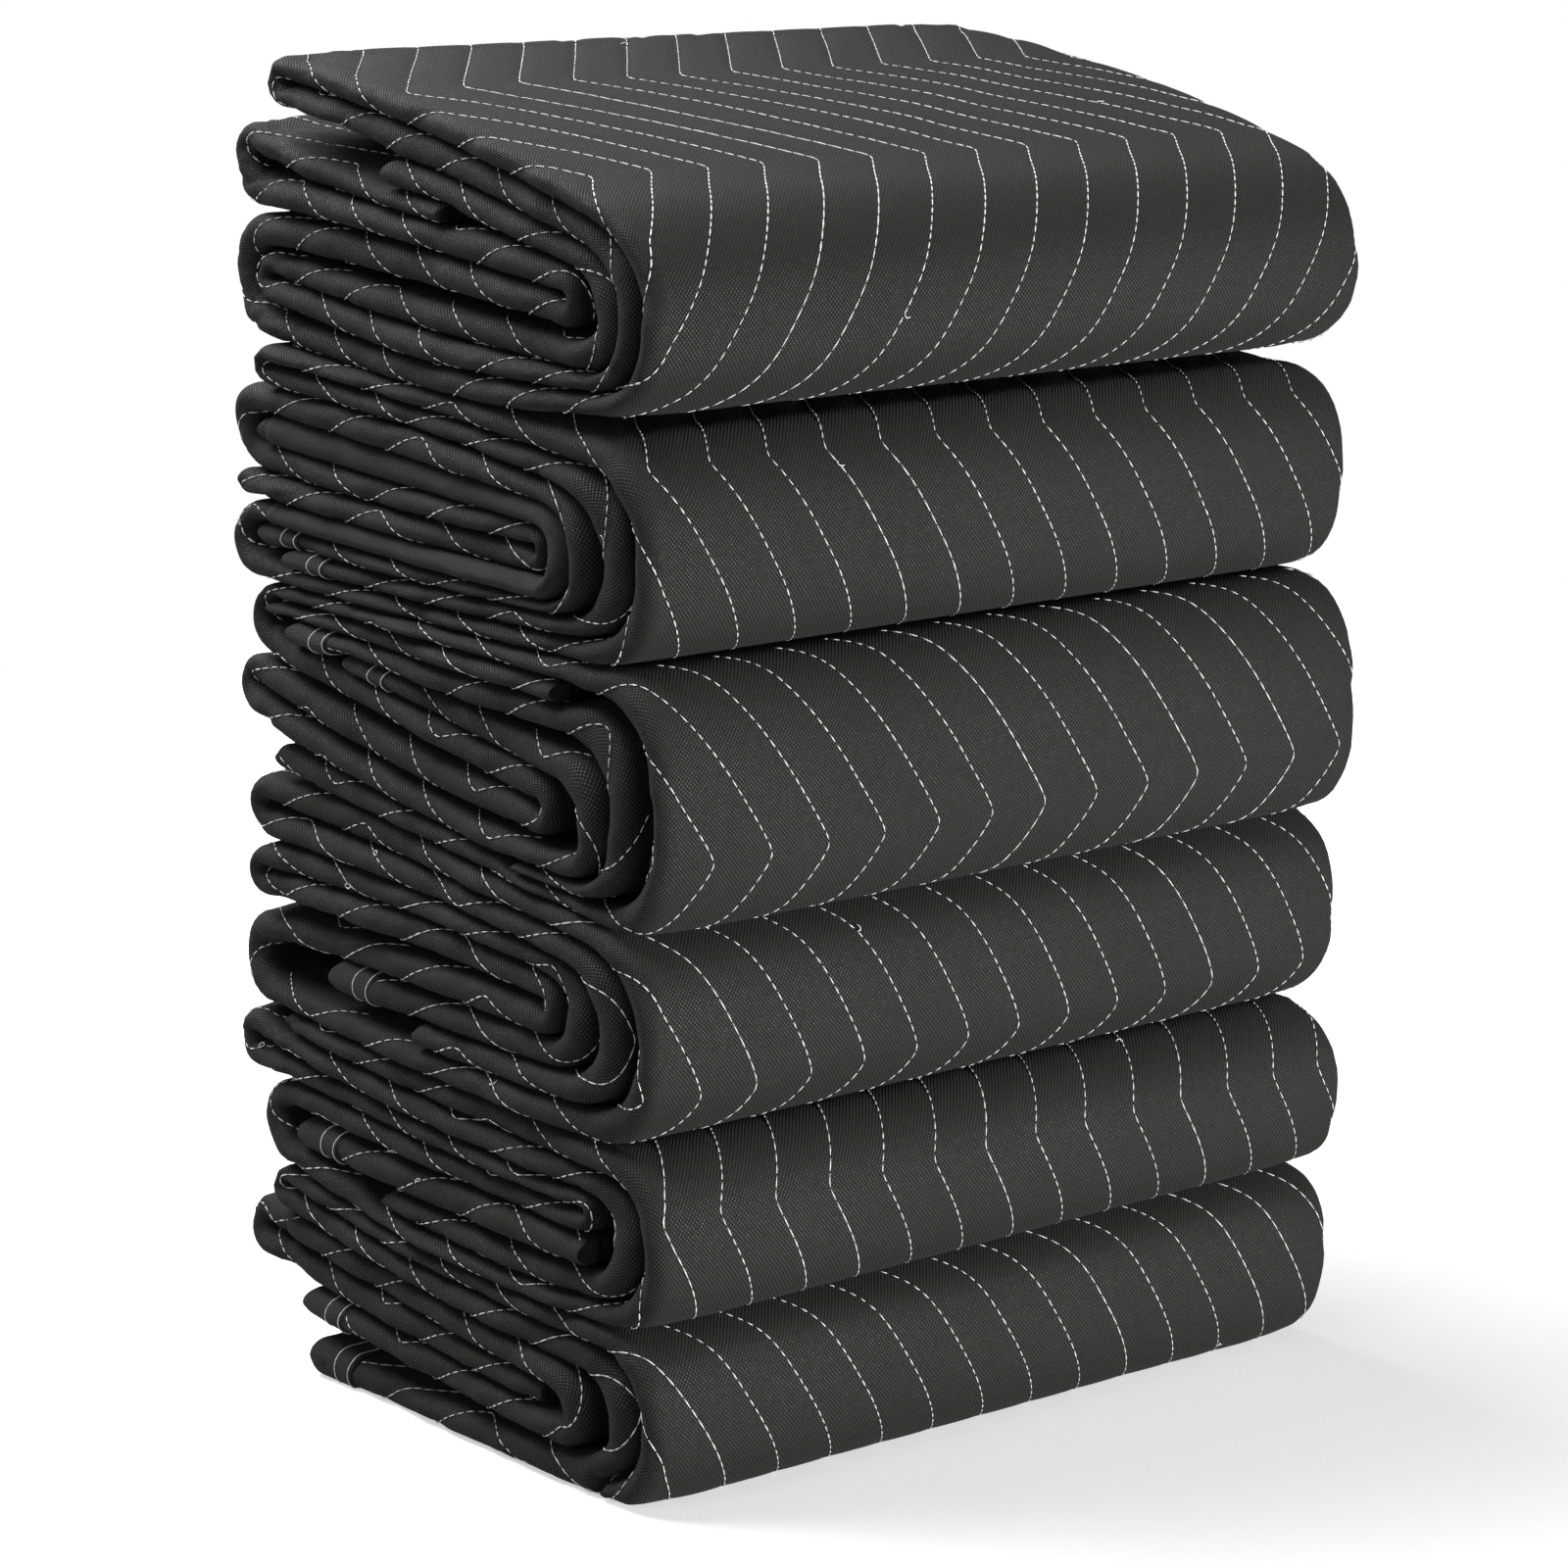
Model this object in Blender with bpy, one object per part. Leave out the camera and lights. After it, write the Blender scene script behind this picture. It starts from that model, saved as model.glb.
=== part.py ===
"""Stack of six folded, quilted moving blankets.

Each blanket is one long strip of quilted cloth, folded back and forth. The stack is described
in its own side view: y runs from the smooth outer folds at the front to the loose lobes at the
back, and z runs up. The strip is as wide as the stack is along x. The layered ends show at -x.
"""
import math
from collections import namedtuple

import bmesh
import bpy
import numpy as np
from mathutils import Vector

MM = 0.001
NAME = "moving_blankets"

# Driving sizes, in metres
STRIP_WIDTH = 0.508        # an 80 in side folded in four
STACK_MIDDLE_Y = 0.1742    # the side view's y at the middle of the stack
LAYER_HALF = 8.5 * MM      # half a loose layer's thickness
FOLD_HALF = 12 * MM        # the same on the outside of a fold, where the cloth puffs out
LAYER_GAP = 1.1 * MM       # between layers of one blanket that lie on each other
BLANKET_GAP = 0.45 * MM    # between two blankets
EDGE_ROUND = 11 * MM       # how far a layer's folded edge rounds over at the strip's sides
END_ROUND = 8 * MM         # the same at a free end
INNER_BEND = 0.72          # the most of a bend's radius that a layer fills on the inside
FULL_PUFF_BEND = 25        # a bend this tight, in 1/m, puffs the cloth out fully
SAME_LAYER = 28 * MM       # cloth this near along the strip is no neighbour of itself
BEHIND = -0.15             # a neighbour on a side stands in front of it, but for this share
TAPE_LENGTH = 38 * MM      # binding tape over a free end
TAPE_THICK = 1.2 * MM
TAPE_CLEAR = 0.3 * MM
FLOOR_REACH = 18 * MM      # a level layer whose middle is this low is pressed flat on the floor
FLAT_ENOUGH = 0.96
FLOOR_TOUCH = 2 * MM       # cloth that comes this near the floor lies on it
SETTLE = 9 * MM            # the stack stands this much higher at +x than at -x
SETTLE_OVER = 60 * MM

# Where a layer's three heights are taken, in the side view
Y_BACK, Y_MIDDLE, Y_FRONT = 300 * MM, 150 * MM, 60 * MM

# A layer's section and its free end
CORNER_IN, CORNER_UP = 0.28, 0.72
EDGE_ROUND_MOST = 1.2      # the most of the layer's thickness that its edge rounds over
BLUNT, BLUNT_TAPED = 0.4, 0.62

# Sections near a free end and near a taped one, as distances from it
FREE_STATIONS = [0.0, 4 * MM, 9 * MM]
TAPE_STATIONS = [0.0, 4 * MM, 9 * MM, 24 * MM, TAPE_LENGTH]

# How finely the strips are drawn
PATH_STEP = 3 * MM
STRAIGHT_STEP = 48 * MM
TURN_STEP = math.radians(16)
ROUND_POWER = 2.3          # a fold's outline is a superellipse with this power
FOLD_DEPTH = 0.5           # its depth as a share of its height
FOLD_DEPTH_MOST = 46 * MM

# A layer's height at the back, middle and front, and the y of the fold or free end where it stops
Layer = namedtuple("Layer", "z_back z_middle z_front end_y")
# A run of layers without a break. It starts at start_y; a bound end has tape over it.
Run = namedtuple("Run", "start_y start_bound end_bound layers")

BLANKETS = {
    "blanket_1": [
        Run(215, False, False, [
            Layer(708, 692, 671, 21),
            Layer(641, 625, 617, 342),
            Layer(628, 609, 603, 2),
            Layer(738, 708, 686, 326),
            Layer(752, 727, 703, -16),
            Layer(606, 594, 594, 363),
            Layer(663, 650, 640, 50),
            Layer(684, 669, 656, 362),
            Layer(704, 682, 680, 165),
        ]),
    ],
    "blanket_2": [
        Run(318, True, False, [
            Layer(481, 476, 476, 17),
            Layer(583, 568, 553, 340),
            Layer(593, 578, 571, -10),
            Layer(470, 463, 463, 364),
            Layer(503, 494, 489, 62),
            Layer(549, 537, 531, 344),
        ]),
        Run(346, True, False, [
            Layer(492, 485, 483, 45),
            Layer(567, 552, 541, 366),
            Layer(533, 523, 519, 78),
            Layer(517, 509, 507, 366),
        ]),
    ],
    "blanket_3": [
        Run(335, False, True, [
            Layer(362, 341, 329, -23),
            Layer(460, 456, 452, 352),
            Layer(424, 397, 378, 80),
            Layer(402, 375, 366, 364),
            Layer(381, 353, 344, 37),
            Layer(437, 412, 400, 262),
        ]),
        Run(105, False, True, [
            Layer(352, 342, 336, 12),
            Layer(441, 431, 426, 314),
        ]),
        Run(340, False, False, [
            Layer(451, 444, 439, 66),
        ]),
    ],
    "blanket_4": [
        Run(282, True, False, [
            Layer(248, 242, 242, 52),
            Layer(307, 299, 287, 357),
            Layer(290, 284, 277, 74),
            Layer(265, 262, 257, 368),
            Layer(221, 212, 211, -10),
            Layer(342, 328, 318, 358),
            Layer(322, 311, 302, 20),
            Layer(235, 227, 227, 200),
        ]),
    ],
    "blanket_5": [
        Run(235, False, False, [
            Layer(132, 118, 119, 12),
            Layer(196, 181, 178, 370),
            Layer(180, 169, 166, 40),
            Layer(168, 159, 157, 348),
            Layer(126, 107, 106, -16),
            Layer(208, 197, 193, 330),
        ]),
        Run(316, True, False, [
            Layer(147, 139, 139, 44),
        ]),
    ],
    "blanket_6": [
        Run(28, False, True, [
            Layer(7, 7, 7, -10),
            Layer(113, 97, 96, 340),
            Layer(101, 84, 79, 16),
            Layer(15, 9, 13, 308),
        ]),
        Run(314, True, False, [
            Layer(44, 34, 31, 54),
            Layer(83, 67, 61, 368),
            Layer(64, 52, 48, 86),
        ]),
    ],
}

# Places where two runs of one blanket are joined by the fold at the strip's far side
Join = namedtuple("Join", "blanket y z_low z_high")
JOINS = [
    Join("blanket_2", 200, 480, 487),
    Join("blanket_3", 200, 436, 455),
    Join("blanket_5", 200, 145, 158),
    Join("blanket_6", 200, 76, 86),
]
JOIN_X = (STRIP_WIDTH / 2 - 0.042, STRIP_WIDTH / 2 - 0.016)
JOIN_LENGTH = 50 * MM

CLOTH_COLOUR = (0.028, 0.029, 0.030, 1)
TAPE_COLOUR = (0.055, 0.056, 0.056, 1)


def layer_height(layer, y):
    """The layer's height at y: a parabola through its three heights."""
    at = (Y_BACK, Y_MIDDLE, Y_FRONT)
    total = 0.0
    for i, z in enumerate(layer[:3]):
        share = 1.0
        for j in range(3):
            if j != i:
                share *= (y - at[j]) / (at[i] - at[j])
        total += z * MM * share
    return total


def fold_points(a, b, apex, towards):
    """The fold from layer a round to layer b. It reaches y = apex; towards is -1 at the front."""
    depth = 0.0
    for _ in range(3):
        start = apex - towards * depth
        height = layer_height(a, start) - layer_height(b, start)
        depth = min(FOLD_DEPTH * abs(height), FOLD_DEPTH_MOST)
    start = apex - towards * depth
    top, bottom = layer_height(a, start), layer_height(b, start)
    slopes = [(layer_height(layer, start + MM) - layer_height(layer, start)) / MM for layer in (a, b)]
    points = []
    for k in range(33):
        angle = math.pi * k / 32
        up = math.copysign(abs(math.cos(angle)) ** (2 / ROUND_POWER), math.cos(angle))
        out = towards * depth * abs(math.sin(angle)) ** (2 / ROUND_POWER)
        first = math.cos(angle / 2) ** 2
        lean = out * (slopes[0] * first + slopes[1] * (1 - first))
        points.append((start + out, (top + bottom) / 2 + (top - bottom) / 2 * up + lean))
    return points


def even_path(points):
    """The same line with points PATH_STEP apart, and its small kinks smoothed."""
    p = np.array(points)
    for _ in range(2):
        along = np.concatenate([[0], np.cumsum(np.linalg.norm(np.diff(p, axis=0), axis=1))])
        count = int(along[-1] / PATH_STEP) + 1
        at = np.linspace(0, along[-1], count)
        p = np.stack([np.interp(at, along, p[:, k]) for k in range(2)], axis=1)
        q = p.copy()
        q[2:-2] = (p[:-4] + 2 * p[1:-3] + 3 * p[2:-2] + 2 * p[3:-1] + p[4:]) / 9
        p = q
    return p


def run_path(run):
    """The middle line of a run, from its start to its end."""
    points = []
    y = run.start_y * MM
    layers = run.layers
    for i, layer in enumerate(layers):
        end = layer.end_y * MM
        towards = 1 if end > y else -1
        last = i == len(layers) - 1
        fold = [] if last else fold_points(layer, layers[i + 1], end, towards)
        stop = end if last else fold[0][0]
        for k in range(12):
            at = y + (stop - y) * k / 12
            points.append((at, layer_height(layer, at)))
        points += fold if fold else [(end, layer_height(layer, end))]
        y = fold[-1][0] if fold else end
    return even_path(points)


def steady(values, reach):
    """The values with each dip widened and then smoothed, so none rises above its own limit."""
    n = len(values)
    low = np.array([values[max(0, i - reach):i + reach + 1].min() for i in range(n)])
    return np.array([low[max(0, i - reach):i + reach + 1].mean() for i in range(n)])


class Strip:
    """A run's middle line with its normals and its half thickness on either side."""

    def __init__(self, name, run):
        self.name = name
        self.run = run
        self.p = run_path(run)
        d = np.gradient(self.p, axis=0)
        d /= np.linalg.norm(d, axis=1)[:, None]
        self.normal = np.stack([-d[:, 1], d[:, 0]], axis=1)
        self.along = np.concatenate([[0], np.cumsum(np.linalg.norm(np.diff(self.p, axis=0), axis=1))])
        heading = np.unwrap(np.arctan2(d[:, 1], d[:, 0]))
        self.heading = heading
        self.bend = np.gradient(heading, self.along)


def set_thickness(strips):
    """Each layer fills the room up to halfway to its neighbours, or up to its own thickness."""
    places = np.concatenate([s.p for s in strips])
    owner = np.concatenate([np.full(len(s.p), i) for i, s in enumerate(strips)])
    names = np.concatenate([np.full(len(s.p), s.name) for s in strips])
    along = np.concatenate([s.along for s in strips])
    for i, s in enumerate(strips):
        gap = np.where(names == s.name, LAYER_GAP, BLANKET_GAP)
        halves = []
        for side in (1, -1):
            room = np.zeros(len(s.p))
            for k, (c, n) in enumerate(zip(s.p, s.normal * side)):
                v = places - c
                distance = np.linalg.norm(v, axis=1)
                other = (owner != i) | (abs(along - s.along[k]) > SAME_LAYER)
                faces = v @ n > BEHIND * distance
                near = (distance - gap)[other & faces]
                room[k] = near.min(initial=1.0) / 2
            bend = s.bend * side
            puff = np.clip(abs(bend) / FULL_PUFF_BEND, 0, 1)
            most = LAYER_HALF + (FOLD_HALF - LAYER_HALF) * puff
            inside = np.where(bend > 1, INNER_BEND / np.maximum(bend, 1), 1.0)
            half = np.minimum(np.minimum(room, most), inside)
            half = steady(half, 2)
            floor = (s.normal[:, 1] * side < -FLAT_ENOUGH) & (s.p[:, 1] < FLOOR_REACH)
            half[floor] = s.p[floor, 1] / -(s.normal[floor, 1] * side)
            halves.append(half)
        s.left, s.right = halves
        s.places = np.array(stations(s))
        s.place_left, s.place_right = [least_between(s, half) for half in halves]


def least_between(strip, half):
    """The half thickness at each section: the least that is found up to the sections beside it."""
    places = strip.places
    before = np.concatenate([places[:1], places[:-1]])
    after = np.concatenate([places[1:], places[-1:]])
    found = []
    for low, place, high in zip(before, places, after):
        within = (strip.along > low) & (strip.along < high)
        found.append(min(half[within].min(initial=1.0), np.interp(place, strip.along, half)))
    return np.array(found)


def edge_place(name, along):
    """How far a layer's folded edge stands in from the strip's side, which varies a little."""
    seed = sum(ord(c) for c in name) * 0.37
    wave = math.sin(along * 7.3 + seed) + 0.6 * math.sin(along * 17.1 + 2 * seed)
    return (1.6 + wave) * 1.7 * MM


def settled(x, z):
    """The height of a point once the stack has settled towards -x."""
    share = x / STRIP_WIDTH
    return z + SETTLE * share * (1 - math.exp(-z / SETTLE_OVER))


def ring(strip, at, inset, beyond=0.0):
    """The strip's closed section at a distance along it, as ten points."""
    centre = np.array([np.interp(at, strip.along, strip.p[:, k]) for k in range(2)])
    normal = np.array([np.interp(at, strip.along, strip.normal[:, k]) for k in range(2)])
    normal /= np.linalg.norm(normal)
    heading = np.array([normal[1], -normal[0]])
    centre = centre + heading * beyond
    from_end = min(at, strip.along[-1] - at)
    blunt = BLUNT_TAPED if inset or beyond else BLUNT
    share = max(blunt, math.sqrt(max(0.0, 1 - (1 - min(1, from_end / END_ROUND)) ** 2)))
    left = np.interp(at, strip.places, strip.place_left) * share - inset
    right = np.interp(at, strip.places, strip.place_right) * share - inset
    into = min(EDGE_ROUND, EDGE_ROUND_MOST * (left + right))
    edge = edge_place(strip.name, at) + inset
    side = STRIP_WIDTH / 2
    sections = []
    for x_sign in (-1, 1):
        corner = CORNER_IN * into
        edge_line = ((into, left), (corner, CORNER_UP * left), (0.0, (left - right) / 2),
                     (corner, -CORNER_UP * right), (into, -right))
        for x_in, up in edge_line:
            y, z = centre + normal * up
            z = 0.0 if z < FLOOR_TOUCH else z
            sections.append((x_sign * (side - edge - x_in), y - STACK_MIDDLE_Y, z))
    points = sections[:5] + sections[:4:-1]
    return [Vector((x, y, settled(x, z))) for x, y, z in points]


def end_stations(bound):
    """The sections near an end, as distances from it."""
    if bound:
        return [*TAPE_STATIONS, TAPE_LENGTH + TAPE_THICK, TAPE_LENGTH + 3 * TAPE_THICK]
    return FREE_STATIONS


def stations(strip):
    """Where the strip is cut into sections: close together on folds and at the ends."""
    total = strip.along[-1]
    first = end_stations(strip.run.start_bound)
    last = end_stations(strip.run.end_bound)
    places = list(first)
    spent = 0.0
    for k in range(1, len(strip.along)):
        spent += (strip.along[k] - strip.along[k - 1]) / STRAIGHT_STEP
        spent += abs(strip.heading[k] - strip.heading[k - 1]) / TURN_STEP
        if spent >= 1 and places[-1] + 5 * MM < strip.along[k] < total - last[-1] - 5 * MM:
            places.append(strip.along[k])
            spent = 0.0
    return places + [total - a for a in reversed(last)]


def taped(strip, at):
    """Whether the strip has tape on it there."""
    reach = TAPE_LENGTH + 2 * TAPE_THICK
    start = strip.run.start_bound and at < reach
    end = strip.run.end_bound and strip.along[-1] - at < reach
    return start or end


def loft(bm, rings):
    """Faces between rings that follow each other. Returns the rings' vertices."""
    rows = [[bm.verts.new(p) for p in r] for r in rings]
    for a, b in zip(rows, rows[1:]):
        for i in range(len(a)):
            j = (i + 1) % len(a)
            bm.faces.new((a[i], a[j], b[j], b[i]))
    return rows


def add_object(name, bm, colour, parent, collection):
    """A mesh object with its own material, whose origin is at its lowest point's height."""
    bmesh.ops.recalc_face_normals(bm, faces=bm.faces)
    low = min(v.co.z for v in bm.verts)
    bmesh.ops.translate(bm, verts=bm.verts, vec=(0, 0, -low))
    mesh = bpy.data.meshes.new(name)
    bm.to_mesh(mesh)
    bm.free()
    material = bpy.data.materials.new(name + "_cloth")
    material.use_nodes = True
    shader = material.node_tree.nodes["Principled BSDF"]
    shader.inputs["Base Color"].default_value = colour
    shader.inputs["Roughness"].default_value = 0.9
    shader.inputs["Metallic"].default_value = 0.0
    mesh.materials.append(material)
    made = bpy.data.objects.new(name, mesh)
    made.location = (0, 0, low)
    made.parent = parent
    collection.objects.link(made)
    return made


def blanket(name, strips, parent, collection):
    """One folded blanket: its runs lofted, and joined into one solid."""
    bm = bmesh.new()
    for strip in strips:
        inset = TAPE_THICK + TAPE_CLEAR
        rings = [ring(strip, at, inset if taped(strip, at) else 0.0) for at in strip.places]
        rows = loft(bm, rings)
        bm.faces.new(rows[0])
        bm.faces.new(rows[-1])
    return add_object(name, bm, CLOTH_COLOUR, parent, collection)


def join_runs(made, join, cutters):
    """Joins two runs of a blanket with the fold at the strip's far side."""
    x = sum(JOIN_X) / 2
    z = (join.z_low + join.z_high) / 2 * MM
    bm = bmesh.new()
    bmesh.ops.create_cube(bm, size=1)
    size = (JOIN_X[1] - JOIN_X[0], JOIN_LENGTH, (join.z_high - join.z_low) * MM)
    bmesh.ops.scale(bm, verts=bm.verts, vec=size)
    mesh = bpy.data.meshes.new(made.name + "_fold")
    bm.to_mesh(mesh)
    bm.free()
    fold = bpy.data.objects.new(made.name + "_fold", mesh)
    fold.location = (x, join.y * MM - STACK_MIDDLE_Y, settled(x, z))
    fold.hide_render = True
    fold.display_type = "WIRE"
    cutters.objects.link(fold)
    union = made.modifiers.new("fold", "BOOLEAN")
    union.operation = "UNION"
    union.solver = "EXACT"
    union.object = fold


def tape(name, strip, at_start, parent, collection):
    """Binding tape, folded over a strip's free end like a sock."""
    total = strip.along[-1]
    bm = bmesh.new()
    shells = []
    for inset, beyond in ((0.0, TAPE_THICK + TAPE_CLEAR), (TAPE_THICK, TAPE_CLEAR)):
        rings = []
        for along in reversed(TAPE_STATIONS):
            at = along if at_start else total - along
            past = beyond if along == 0 else 0.0
            rings.append(ring(strip, at, inset, -past if at_start else past))
        rows = loft(bm, rings)
        bm.faces.new(rows[-1])
        shells.append(rows[0])
    outer, inner = shells
    for i in range(len(outer)):
        j = (i + 1) % len(outer)
        bm.faces.new((outer[i], outer[j], inner[j], inner[i]))
    return add_object(name, bm, TAPE_COLOUR, parent, collection)


def build():
    for o in list(bpy.data.objects):
        bpy.data.objects.remove(o)
    collection = bpy.data.collections.new(NAME)
    cutters = bpy.data.collections.new("cutters")
    for made in (collection, cutters):
        bpy.context.scene.collection.children.link(made)
    parent = bpy.data.objects.new(NAME, None)
    collection.objects.link(parent)
    strips = [Strip(name, run) for name, runs in BLANKETS.items() for run in runs]
    set_thickness(strips)
    for name in BLANKETS:
        own = [s for s in strips if s.name == name]
        made = blanket(name, own, parent, collection)
        for join in JOINS:
            if join.blanket == name:
                join_runs(made, join, cutters)
        letter = iter("abc")
        for strip in own:
            if strip.run.start_bound:
                tape(f"binding_{name[-1]}{next(letter)}", strip, True, parent, collection)
            if strip.run.end_bound:
                tape(f"binding_{name[-1]}{next(letter)}", strip, False, parent, collection)


build()
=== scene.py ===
"""Six folded moving blankets: quilted cloth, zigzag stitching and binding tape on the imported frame.

The strips' paths are worked out as in the CAD source. y runs from the front folds to the back,
z runs up, and each blanket is one or more long strips, flattened tubes of cloth, folded to and fro.
"""
import math
from collections import namedtuple

import bpy
import numpy as np
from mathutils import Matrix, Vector


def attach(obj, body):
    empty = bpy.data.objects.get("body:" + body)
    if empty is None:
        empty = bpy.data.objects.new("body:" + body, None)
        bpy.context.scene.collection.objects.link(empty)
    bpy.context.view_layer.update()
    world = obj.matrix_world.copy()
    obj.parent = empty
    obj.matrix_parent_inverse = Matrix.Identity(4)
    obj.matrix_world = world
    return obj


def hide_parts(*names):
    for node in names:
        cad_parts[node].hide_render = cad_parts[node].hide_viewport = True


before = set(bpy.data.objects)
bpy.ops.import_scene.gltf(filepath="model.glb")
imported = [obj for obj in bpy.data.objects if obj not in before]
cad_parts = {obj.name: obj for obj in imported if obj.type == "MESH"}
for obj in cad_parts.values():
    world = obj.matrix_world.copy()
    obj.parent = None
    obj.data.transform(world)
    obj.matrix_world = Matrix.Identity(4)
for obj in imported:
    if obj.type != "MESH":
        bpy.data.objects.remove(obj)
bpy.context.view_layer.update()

MM = 0.001

# The CAD source's sizes, in metres
STRIP_WIDTH = 0.508
STACK_MIDDLE_Y = 0.1742
LAYER_HALF = 8.5 * MM
FOLD_HALF = 12 * MM
LAYER_GAP = 1.1 * MM
BLANKET_GAP = 0.45 * MM
INNER_BEND = 0.72
FULL_PUFF_BEND = 25
FLOOR_REACH = 18 * MM
FLAT_ENOUGH = 0.96
SETTLE = 9 * MM
SETTLE_OVER = 60 * MM
Y_BACK, Y_MIDDLE, Y_FRONT = 300 * MM, 150 * MM, 60 * MM
PATH_STEP = 3 * MM
ROUND_POWER = 2.3
FOLD_DEPTH = 0.5
FOLD_DEPTH_MOST = 46 * MM

Layer = namedtuple("Layer", "z_back z_middle z_front end_y")
Run = namedtuple("Run", "start_y start_bound end_bound layers")

BLANKETS = {
    "blanket_1": [
        Run(215, False, False, [
            Layer(708, 692, 671, 21),
            Layer(641, 625, 617, 342),
            Layer(628, 609, 603, 2),
            Layer(738, 708, 686, 326),
            Layer(752, 727, 703, -16),
            Layer(606, 594, 594, 363),
            Layer(663, 650, 640, 50),
            Layer(684, 669, 656, 362),
            Layer(704, 682, 680, 165),
        ]),
    ],
    "blanket_2": [
        Run(318, True, False, [
            Layer(481, 476, 476, 17),
            Layer(583, 568, 553, 340),
            Layer(593, 578, 571, -10),
            Layer(470, 463, 463, 364),
            Layer(503, 494, 489, 62),
            Layer(549, 537, 531, 344),
        ]),
        Run(346, True, False, [
            Layer(492, 485, 483, 45),
            Layer(567, 552, 541, 366),
            Layer(533, 523, 519, 78),
            Layer(517, 509, 507, 366),
        ]),
    ],
    "blanket_3": [
        Run(335, False, True, [
            Layer(362, 341, 329, -23),
            Layer(460, 456, 452, 352),
            Layer(424, 397, 378, 80),
            Layer(402, 375, 366, 364),
            Layer(381, 353, 344, 37),
            Layer(437, 412, 400, 262),
        ]),
        Run(105, False, True, [
            Layer(352, 342, 336, 12),
            Layer(441, 431, 426, 314),
        ]),
        Run(340, False, False, [
            Layer(451, 444, 439, 66),
        ]),
    ],
    "blanket_4": [
        Run(282, True, False, [
            Layer(248, 242, 242, 52),
            Layer(307, 299, 287, 357),
            Layer(290, 284, 277, 74),
            Layer(265, 262, 257, 368),
            Layer(221, 212, 211, -10),
            Layer(342, 328, 318, 358),
            Layer(322, 311, 302, 20),
            Layer(235, 227, 227, 200),
        ]),
    ],
    "blanket_5": [
        Run(235, False, False, [
            Layer(132, 118, 119, 12),
            Layer(196, 181, 178, 370),
            Layer(180, 169, 166, 40),
            Layer(168, 159, 157, 348),
            Layer(126, 107, 106, -16),
            Layer(208, 197, 193, 330),
        ]),
        Run(316, True, False, [
            Layer(147, 139, 139, 44),
        ]),
    ],
    "blanket_6": [
        Run(28, False, True, [
            Layer(7, 7, 7, -10),
            Layer(113, 97, 96, 340),
            Layer(101, 84, 79, 16),
            Layer(15, 9, 13, 308),
        ]),
        Run(314, True, False, [
            Layer(44, 34, 31, 54),
            Layer(83, 67, 61, 368),
            Layer(64, 52, 48, 86),
        ]),
    ],
}

# The zigzag quilting. kink is how far below its front fold's foremost point a line turns, in mm,
# and points says to which side, along x. at_x is one such turn's x, in mm from the -x end.
# across is how many lines go round the flattened tube, and slope is x against length.
Quilt = namedtuple("Quilt", "run kink points at_x across slope")
QUILTS = {
    "blanket_1": Quilt(0, -103, 1, 243.5, 28, 0.74),
    "blanket_2": Quilt(0, -43, -1, 241.0, 27, 0.66),
    "blanket_3": Quilt(0, 23, 1, 263.5, 27, 0.70),
    "blanket_4": Quilt(0, 27, 1, 259.0, 28, 0.60),
    "blanket_5": Quilt(0, -17, -1, 261.5, 28, 0.62),
    "blanket_6": Quilt(0, 86, 1, 237.5, 28, 0.68),
}
ZIGZAG = 160 * MM          # cloth from one turn of the zigzag to the next
TURN_ROUND = 2.5 * MM      # how round its turns are

# The flattened tube's section
EDGE_CLOTH = 15 * MM       # cloth from a folded edge's foremost point to the flat
EDGE_IN = 9.5 * MM
EDGE_POWER = 2.0

# Relief
TROUGH = 0.7 * MM          # how deep the stitching pulls the cloth in
TROUGH_WIDE = 4.5 * MM
PUFF = 0.7 * MM            # how far it stands out between two lines, where nothing lies on it
OPEN_FROM, OPEN_OVER = 2 * MM, 7 * MM
CORNER_SINK, CORNER_WIDE = 2.4 * MM, 24 * MM

# Whether a side is seen from outside: rays from this far off it, with this much room beside them
SIGHT_STEP, SIGHT_OFF, SIGHT_WIDE = 2, 3 * MM, 5 * MM
SIGHT_ANGLES = [math.radians(a) for a in (0, 25, -25, 50, -50, 70, -70, 82, -82)]

# Fineness
STEP = 6 * MM
TURN = math.radians(9)
END_STEPS = [0.0, 0.6 * MM, 1.6 * MM, 3.2 * MM, 5.4 * MM, 8 * MM]
END_ROUND = 5.5 * MM
BLUNTEST = 0.7             # a free end's height at its very end, as a share
COARSE_X = 42 * MM
# Where columns stand between two stitch lines, as shares of the way
LINE_COLUMNS = (0.0, 0.08, 0.20, 0.35, 0.50, 0.65, 0.80, 0.92)

ZIP_NEAR = 0.45            # columns this near each other, as a share of their width, are joined

# Thread: a stitch's length, the gap to the next, and how far it stands off the cloth
DASH, DASH_GAP = 4.7 * MM, 1.7 * MM
THREAD = 0.44 * MM         # half its width
THREAD_LIFT = 0.22 * MM
EDGE_LIFT, EDGE_LIFT_WIDE = 0.5 * MM, 34 * MM       # how much further near a folded edge, and how near
LOOSE, LOOSE_SHARE = 3.6 * MM, 0.004                # a loose end's length, and the share with one

# Some lines have longer, closer stitches: their share, and the stitches' length and gap as shares
LONG_LINES, LONG_DASH, LONG_GAP = 0.2, 1.5, 0.55

# The side binding of blanket 2: half its width round the edge, how far its outer and inner faces
# stand off the cloth, and the share of the cloth's relief that it follows
SIDE_BAND, SIDE_BAND_THICK, SIDE_BAND_INSIDE = 15 * MM, 1.1 * MM, 0.2 * MM
SIDE_BAND_RELIEF, SIDE_BAND_STEP = 0.4, 5 * MM
# It runs from the last place on its strip that is past this y and below this z
SIDE_BAND_FROM_Y, SIDE_BAND_BELOW_Z = 330 * MM, 0.52

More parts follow.
